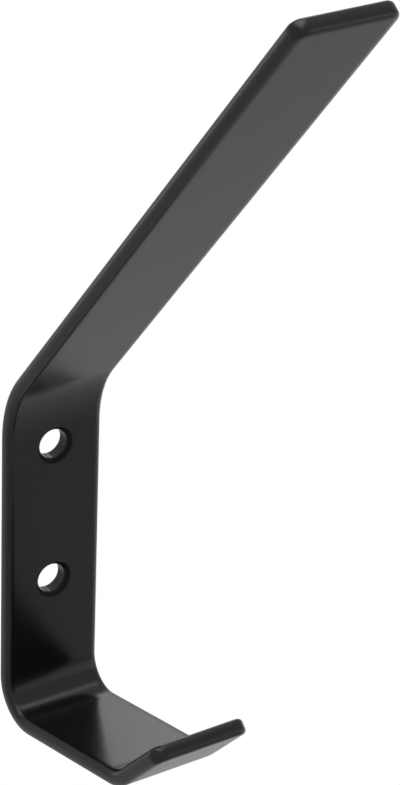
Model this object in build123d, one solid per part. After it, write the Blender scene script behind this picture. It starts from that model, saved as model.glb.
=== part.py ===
from build123d import *
import math
import os

# Coat hook bent from one length of flat steel bar.
# From its tip the bar runs down a long upper arm, through an easy bend into a flat
# plate that is screwed to the wall, round a tight bend into a short lower arm, and
# up into a lip. All three bends turn the same way, towards the room.
# Frame: the wall is the plane Y = 0 and the plate's back lies on it. The origin is
# midway between the two screw holes, the room is on the -Y side and up is +Z.
# Sizes are in millimetres and degrees. Each length along the bar is that of a flat
# stretch, from the end of one bend to the start of the next.

# The flat bar, with rounded long edges and two rounded corners at each cut end
bar_width = 20.0
bar_thickness = 3.0
bar_edge_radius = 0.85
end_corner_radius = 2.1

# The plate, with one screw hole above the other on its middle line. Its upper
# length runs up from the upper hole's centre, and its lower one down from the lower.
hole_spacing = 28.4
upper_plate_length = 2.8
lower_plate_length = 19.1
hole_diameter = 5.8
countersink_depth = 0.8
countersink_angle = 90.0

# The upper arm, which leans out from the wall
upper_bend_angle = 39.5
upper_bend_inside_radius = 19.0
upper_arm_length = 119.8

# The lower arm, which rises a little towards the room
lower_bend_angle = 100.0
lower_bend_inside_radius = 5.5
lower_arm_length = 28.3

# The lip, which leans out at the end of the lower arm
lip_bend_angle = 35.5
lip_bend_inside_radius = 6.5
lip_length = 15.0

# How far the drill and the countersink start clear of the bar's faces
tool_clearance = 0.5

# The wall side of the bar, drawn outwards from the plate in both directions.
# It is the outside of every bend. In this drawing x is the row's Y and y its Z.
upper_hole_height = hole_spacing / 2
lower_hole_height = -hole_spacing / 2
plate = Line(
    (0, lower_hole_height - lower_plate_length),
    (0, upper_hole_height + upper_plate_length),
)
upper_bend = JernArc(
    start=plate @ 1,
    tangent=plate % 1,
    radius=upper_bend_inside_radius + bar_thickness,
    arc_size=upper_bend_angle,
)
upper_arm = PolarLine(upper_bend @ 1, upper_arm_length, direction=upper_bend % 1)
lower_bend = JernArc(
    start=plate @ 0,
    tangent=(plate % 0) * -1,
    radius=lower_bend_inside_radius + bar_thickness,
    arc_size=-lower_bend_angle,
)
lower_arm = PolarLine(lower_bend @ 1, lower_arm_length, direction=lower_bend % 1)
lip_bend = JernArc(
    start=lower_arm @ 1,
    tangent=lower_arm % 1,
    radius=lip_bend_inside_radius + bar_thickness,
    arc_size=-lip_bend_angle,
)
lip = PolarLine(lip_bend @ 1, lip_length, direction=lip_bend % 1)
wall_side = Wire([upper_arm, upper_bend, plate, lower_bend, lower_arm, lip_bend, lip])

# The room side lies one thickness in from the wall side, and a square cut joins
# the two at each end of the bar.
room_side = wall_side.offset_2d(bar_thickness, side=Side.LEFT, closed=False)
tip_cut = Line(wall_side @ 1, room_side @ 0)
lip_cut = Line(room_side @ 1, wall_side @ 0)
outline = make_face([*wall_side.edges(), tip_cut, *room_side.edges(), lip_cut])
bar = extrude(Plane.YZ * outline, amount=bar_width / 2, both=True)

# Each cut end has its two corners rounded in the plane of the bar
corners = []
for cut in (tip_cut, lip_cut):
    middle_of_cut = Plane.YZ.from_local_coords(cut @ 0.5)
    end_face = bar.faces().sort_by_distance(middle_of_cut)[0]
    corners += end_face.edges().filter_by(Axis.X, reverse=True)
bar = fillet(corners, end_corner_radius)

# The plate's long edges are rounded, and the rounding runs on from them along the
# arms and across both ends, because those edges follow on smoothly.
edge_radius = min(bar_edge_radius, 0.45 * bar_thickness)
plate_edges = bar.faces().filter_by(Axis.Y).edges().filter_by(Axis.Z)
bar = fillet(plate_edges, edge_radius)

# Screw holes are drilled from the room side and countersunk for a flat screw head
hole_radius = hole_diameter / 2
countersink_slope = math.tan(math.radians(countersink_angle / 2))
cone_height = countersink_depth + tool_clearance
for hole_height in (upper_hole_height, lower_hole_height):
    back_of_hole = Plane(origin=(0, tool_clearance, hole_height), z_dir=(0, -1, 0))
    neck_of_hole = Plane(
        origin=(0, countersink_depth - bar_thickness, hole_height),
        z_dir=(0, -1, 0),
    )
    bar -= back_of_hole * Cylinder(
        radius=hole_radius,
        height=bar_thickness + 2 * tool_clearance,
        align=(Align.CENTER, Align.CENTER, Align.MIN),
    )
    bar -= neck_of_hole * Cone(
        bottom_radius=hole_radius,
        top_radius=hole_radius + cone_height * countersink_slope,
        height=cone_height,
        align=(Align.CENTER, Align.CENTER, Align.MIN),
    )

coat_hook = bar.solid()
coat_hook.label = "coat_hook"

os.makedirs("parts", exist_ok=True)
export_step(coat_hook, "parts/coat_hook.step")
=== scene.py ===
import math

import bpy
from mathutils import Euler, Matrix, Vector

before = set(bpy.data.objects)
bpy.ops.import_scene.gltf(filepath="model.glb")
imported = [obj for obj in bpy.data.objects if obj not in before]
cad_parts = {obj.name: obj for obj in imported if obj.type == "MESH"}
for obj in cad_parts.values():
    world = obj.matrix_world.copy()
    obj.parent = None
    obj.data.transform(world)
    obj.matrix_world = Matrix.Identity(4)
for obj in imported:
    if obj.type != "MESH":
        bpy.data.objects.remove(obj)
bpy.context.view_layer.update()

# The hook is one length of flat steel bar, cut, drilled and bent cold, then coated all
# over with a satin black enamel. The enamel flows before it sets: it rounds the edges
# and leaves a fine ripple on the flats. The cut cones of the holes get a duller, less
# shiny coat, which is painted shade that darkens the countersinks.
enamel_black = (0.0034, 0.0032, 0.0032)
enamel_faded = (0.0057, 0.0050, 0.0049)
enamel_refraction = 1.5
enamel_roughness = 0.22
roughness_swing = 0.05
cloud_length = 0.012
cloud_detail = 3.0
cloud_middle = 0.5
ripple_length = 0.0016
ripple_height = 0.000004
ripple_detail = 1.0
grain_length = 0.0003
grain_height = 0.0000006
grain_detail = 2.0
edge_flow = 0.0017
edge_samples = 12
rim_flow = 0.00025
rim_samples = 6
hole_spacing = 0.0284
hole_radius = 0.0029
rim_radius = 0.0037
cone_back = -0.0022
cone_seam = 0.0002
rim_seam = 0.0001
flat_from = 1.25 * rim_radius
flat_to = 1.6 * rim_radius
# The coat for the cones of the holes below is painted shade that darkens the countersinks
cone_shade_black = (0.004, 0.004, 0.004)
cone_shade_roughness = 0.5
cone_shade_shine = 0.2


class Shade:
    """One result of a shader node, which can be written in sums."""

    def __init__(self, outlet):
        self.outlet = outlet

    def node(self, kind, settings, inlets, result=0):
        """Adds a node of this kind to the same material and gives one of its results."""
        tree = self.outlet.id_data
        made = tree.nodes.new(kind)
        for name, value in settings.items():
            setattr(made, name, value)
        for name, value in inlets.items():
            if isinstance(value, Shade):
                tree.links.new(value.outlet, made.inputs[name])
            else:
                made.inputs[name].default_value = value
        return Shade(made.outputs[result])

    def math(self, operation, other=0.0):
        return self.node("ShaderNodeMath", {"operation": operation}, {0: self, 1: other})

    def step(self, start, end):
        """Rises smoothly from 0 at start to 1 at end."""
        ends = {"Value": self, "From Min": start, "From Max": end}
        return self.node("ShaderNodeMapRange", {"interpolation_type": "SMOOTHSTEP"}, ends)

    def noise(self, length, detail):
        """A soft noise from 0 to 1 with lumps about this long, in metres."""
        return self.node("ShaderNodeTexNoise", {}, {0: self, "Scale": 1 / length, "Detail": detail})

    def into(self, inlet):
        self.outlet.id_data.links.new(self.outlet, inlet)

    def __add__(self, other):
        return self.math("ADD", other)

    def __sub__(self, other):
        return self.math("SUBTRACT", other)

    def __rsub__(self, other):
        return self * -1 + other

    def __mul__(self, other):
        return self.math("MULTIPLY", other)

    __radd__ = __add__
    __rmul__ = __mul__


enamel = bpy.data.materials.new("satin black enamel")
enamel.use_nodes = True
nodes = enamel.node_tree.nodes
glossy = nodes["Principled BSDF"]
satin = Shade(glossy.outputs[0])
place = satin.node("ShaderNodeTexCoord", {}, {}, "Object")

# Where the coat is thin it looks faded and a little less smooth
clouds = place.noise(cloud_length, cloud_detail)
ends = {0: clouds, 6: (*enamel_black, 1), 7: (*enamel_faded, 1)}
colour = place.node("ShaderNodeMix", {"data_type": "RGBA"}, ends, 2)
shine = enamel_roughness + roughness_swing * (clouds - cloud_middle)

# Distance from the nearer screw hole's axis, and from the wall
parts = place.node("ShaderNodeSeparateXYZ", {}, {0: place}).outlet.node.outputs
across, outwards, height = (Shade(part) for part in parts)
along = height.math("ABSOLUTE") - hole_spacing / 2
off_axis = (across * across + along * along).math("SQRT")

# The bar's edges look rounder than the rims of the holes
flat = off_axis.step(flat_from, flat_to)
edges = place.node("ShaderNodeBevel", {"samples": edge_samples}, {"Radius": edge_flow})
rims = place.node("ShaderNodeBevel", {"samples": rim_samples}, {"Radius": rim_flow})
facing = place.node("ShaderNodeMix", {"data_type": "VECTOR"}, {0: flat, 4: rims, 5: edges}, 1)
ripple = place.noise(ripple_length, ripple_detail) * ripple_height
grain = place.noise(grain_length, grain_detail) * grain_height
bumps = {"Strength": 1.0, "Distance": 1.0, "Height": ripple + grain, "Normal": facing}
surface = place.node("ShaderNodeBump", {}, bumps)

glossy.inputs["IOR"].default_value = enamel_refraction
colour.into(glossy.inputs["Base Color"])
shine.into(glossy.inputs["Roughness"])
surface.into(glossy.inputs["Normal"])

# Painted shade: a duller, less shiny coat covers the cones alone, between bore and rim
# and in front of their backs, so that the countersinks look darker
cone_shade_coat = {
    "Base Color": (*cone_shade_black, 1),
    "Roughness": cone_shade_roughness,
    "Specular IOR Level": cone_shade_shine,
    "IOR": enamel_refraction,
    "Normal": facing,
}
cone_shade = place.node("ShaderNodeBsdfPrincipled", {}, cone_shade_coat)
past_bore = off_axis.step(hole_radius, hole_radius + cone_seam)
inside_rim = 1 - off_axis.step(rim_radius, rim_radius + rim_seam)
in_front = 1 - outwards.step(cone_back, cone_back + cone_seam)
shaded_cones = past_bore * inside_rim * in_front
coat = place.node("ShaderNodeMixShader", {}, {0: shaded_cones, 1: satin, 2: cone_shade})
coat.into(nodes["Material Output"].inputs["Surface"])

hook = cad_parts["coat_hook"]
hook.material_slots[0].material = enamel

# The studio floor is one plain board with a pale matt paint. It lies as far below the
# hook as a coat hook hangs above a floor.
hook_height = 1.7
floor_reach = 8.0
floor_grey = 0.76
matt = 0.9


def matt_paint(name, grey):
    paint = bpy.data.materials.new(name)
    paint.use_nodes = True
    finish = paint.node_tree.nodes["Principled BSDF"]
    finish.inputs["Base Color"].default_value = (grey, grey, grey, 1)
    finish.inputs["Roughness"].default_value = matt
    return paint


def stage_piece(name, corners, faces, paint):
    mesh = bpy.data.meshes.new(name)
    mesh.from_pydata(corners, [], faces)
    mesh.materials.append(paint)
    piece = bpy.data.objects.new(name, mesh)
    bpy.context.scene.collection.objects.link(piece)
    return piece


quarters = ((-1, -1), (1, -1), (1, 1), (-1, 1))
floor_corners = [(x * floor_reach, y * floor_reach, -hook_height) for x, y in quarters]
stage_piece("floor", floor_corners, [(0, 1, 2, 3)], matt_paint("pale floor", floor_grey))

# The backdrop is white paper, which stands in an arc behind the hook and to its right.
# It starts on the floor, sweeps up in a round bend and ends just below the hook. It
# looks plain white, however the lamps light it.
paper_grey = 0.8
plain_white = {"Color": (1, 1, 1, 1), "Strength": 1.0}
paper_from = 28.0
paper_to = 128.0
paper_start = 1.8
paper_back = 3.1
paper_bend = 0.5
paper_top = -0.08
paper_lift = 0.004
bend_steps = 10
turn_steps = 32

paper = matt_paint("white paper", paper_grey)
nodes = paper.node_tree.nodes
lit = Shade(nodes["Principled BSDF"].outputs[0])
rays = lit.node("ShaderNodeLightPath", {}, {}).outlet.node.outputs
seen = Shade(rays["Is Camera Ray"]) + Shade(rays["Is Glossy Ray"]) + Shade(rays["Is Transmission Ray"])
white = lit.node("ShaderNodeEmission", {}, plain_white)
look = lit.node("ShaderNodeMixShader", {}, {0: seen, 1: lit, 2: white})
look.into(nodes["Material Output"].inputs["Surface"])

paper_floor = -hook_height + paper_lift
profile = [(paper_start, paper_floor)]
for step in range(bend_steps + 1):
    angle = math.radians(90) * step / bend_steps
    out = paper_back - paper_bend * (1 - math.sin(angle))
    profile.append((out, paper_floor + paper_bend * (1 - math.cos(angle))))
profile.append((paper_back, paper_top))
corners = []
faces = []
row = len(profile)
for turn in range(turn_steps + 1):
    azimuth = math.radians(paper_from + (paper_to - paper_from) * turn / turn_steps)
    for out, up in profile:
        corners.append((out * math.sin(azimuth), out * math.cos(azimuth), up))
    if turn:
        for k in range(row - 1):
            here = turn * row + k
            faces.append((here - row, here, here + 1, here - row + 1))
sheet = stage_piece("paper", corners, faces, paper)
for face in sheet.data.polygons:
    face.use_smooth = True

# The room is plain grey, and soft boxes hang in it. Each is a flat lamp that faces the
# hook. Its azimuth runs from the wall, +Y, towards the right, +X. Its half angles say
# how large the hook sees it, and its brightness how white, with 1 for white.
room_grey = 0.52

room = bpy.data.worlds.new("room")
room.use_nodes = True
room.node_tree.nodes["Background"].inputs["Color"].default_value = (1, 1, 1, 1)
room.node_tree.nodes["Background"].inputs["Strength"].default_value = room_grey
bpy.context.scene.world = room


def soft_box(name, azimuth, elevation, away, half_angles, brightness):
    lamp = bpy.data.lights.new(name, "AREA")
    lamp.shape = "RECTANGLE"
    lamp.size, lamp.size_y = (2 * away * math.tan(math.radians(half)) for half in half_angles)
    lamp.energy = math.pi * lamp.size * lamp.size_y * brightness
    box = bpy.data.objects.new(name, lamp)
    towards = Euler((math.radians(elevation), 0, math.radians(-azimuth))).to_matrix() @ Vector((0, 1, 0))
    box.location = towards * away
    box.rotation_euler = towards.to_track_quat("Z", "Y").to_euler()
    bpy.context.scene.collection.objects.link(box)


soft_box("roof light", azimuth=-30, elevation=84, away=2.2, half_angles=(26, 26), brightness=2.0)
soft_box("right light", azimuth=141, elevation=4, away=2.4, half_angles=(9, 14), brightness=0.8)
soft_box("left light", azimuth=-23, elevation=-13, away=2.4, half_angles=(4, 6), brightness=1.4)
soft_box("back light", azimuth=33, elevation=20, away=2.6, half_angles=(5, 9), brightness=1.4)

# The camera stands in front of the hook, to its left and above it, with a long lens. It
# looks at a point just to the right of the upper bend, and leans a little to one side.
camera_aim = Vector((0.02851, -0.00812, 0.01991))
camera_distance = 0.58002
camera_azimuth = 35.618
camera_tilt = -26.677
camera_roll = 2.153
focal_length = 142.867
film_width = 36.0
nearest = 0.01
farthest = 50.0

lens = bpy.data.cameras.new("camera")
lens.lens = focal_length
lens.sensor_width = film_width
lens.clip_start = nearest
lens.clip_end = farthest
level = Euler((math.radians(90 + camera_tilt), 0, math.radians(-camera_azimuth))).to_matrix()
rolled = level @ Euler((0, 0, math.radians(camera_roll))).to_matrix()
camera = bpy.data.objects.new("camera", lens)
camera.rotation_euler = rolled.to_euler()
camera.location = camera_aim + level @ Vector((0, 0, camera_distance))
bpy.context.scene.collection.objects.link(camera)
bpy.context.scene.camera = camera
bpy.context.scene.view_settings.view_transform = "Standard"
